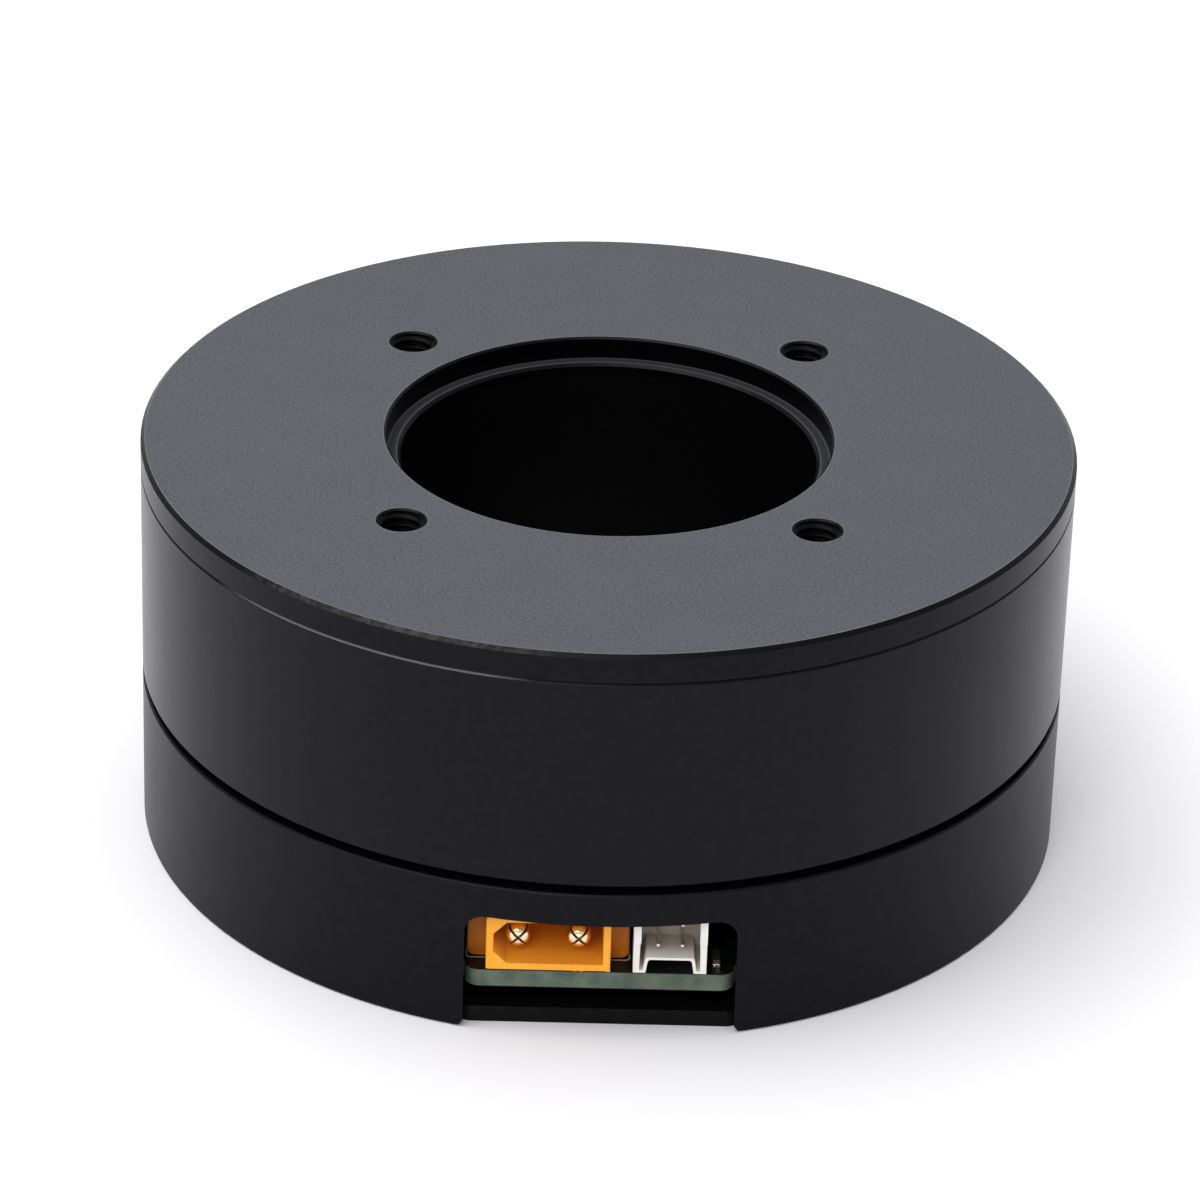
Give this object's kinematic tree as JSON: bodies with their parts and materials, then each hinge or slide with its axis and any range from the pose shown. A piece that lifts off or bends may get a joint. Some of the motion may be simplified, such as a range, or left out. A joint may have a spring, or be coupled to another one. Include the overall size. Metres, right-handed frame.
{
  "type": "robot joint actuator",
  "caption": "Low round hollow-shaft joint actuator: an outer-rotor motor whose bored output plate turns over a fixed base, with power and signal sockets in a notch",
  "frame": {"origin": "centre of the underside, on the shaft's axis", "axes": "+Z is the shaft's axis, out of the output plate; -Y is the side with the notch and the two sockets; +X completes the right-handed frame"},
  "size_m": [0.08, 0.08, 0.036],
  "materials": {
    "plate_black": "matt black hard anodised aluminium, bead blasted",
    "can_black": "satin black coated steel",
    "base_black": "satin black anodised aluminium",
    "cover_black": "matt black anodised aluminium",
    "shaft_black": "black anodised aluminium",
    "magnet_nickel": "nickel plated sintered magnet",
    "screw_steel": "zinc plated steel",
    "screw_black": "black oxide steel",
    "encoder_ferrite": "plastic-bonded ferrite",
    "race_steel": "ground bearing steel",
    "shield_steel": "pressed bearing shield",
    "spacer_aluminium": "turned aluminium",
    "board_laminate": "glass-fibre laminate under black solder mask",
    "socket_amber": "amber moulded nylon",
    "pin_gold": "gold plated brass",
    "socket_white": "natural white moulded nylon",
    "pin_tin": "tin plated brass",
    "chip_black": "moulded epoxy package",
    "capacitor_ceramic": "brown ceramic with tinned ends",
    "core_steel": "stacked electrical steel laminations",
    "coil_copper": "enamelled copper winding",
    "lead_rubber": "silicone insulated lead"
  },
  "bodies": {
    "base": {"base_housing": "base_black", "bottom_cover": "cover_black", "cover_screws": "screw_black", "circuit_board": "board_laminate", "board_screws": "screw_steel", "power_socket": "socket_amber", "power_pins": "pin_gold", "signal_socket": "socket_white", "signal_pins": "pin_tin", "control_chip": "chip_black", "gate_driver_chip": "chip_black", "power_transistors": "chip_black", "board_capacitor": "capacitor_ceramic", "encoder_chip": "chip_black", "stator_core": "core_steel", "stator_coils": "coil_copper", "phase_leads": "lead_rubber", "upper_bearing_outer_race": "race_steel", "upper_bearing_shields": "shield_steel", "lower_bearing_outer_race": "race_steel", "lower_bearing_shields": "shield_steel"},
    "rotor": {"output_plate": "plate_black", "rotor_can": "can_black", "rotor_magnets": "magnet_nickel", "hollow_shaft": "shaft_black", "shaft_screws": "screw_steel", "shaft_lock_ring": "shaft_black", "encoder_ring": "encoder_ferrite", "upper_bearing_inner_race": "race_steel", "lower_bearing_inner_race": "race_steel", "bearing_spacer": "spacer_aluminium"}
  },
  "joints": [
    {"name": "output_spin", "type": "hinge", "parent": "base", "child": "rotor", "pos_m": [0, 0, 0.0225], "axis": [0, 0, 1], "continuous": true}
  ]
}
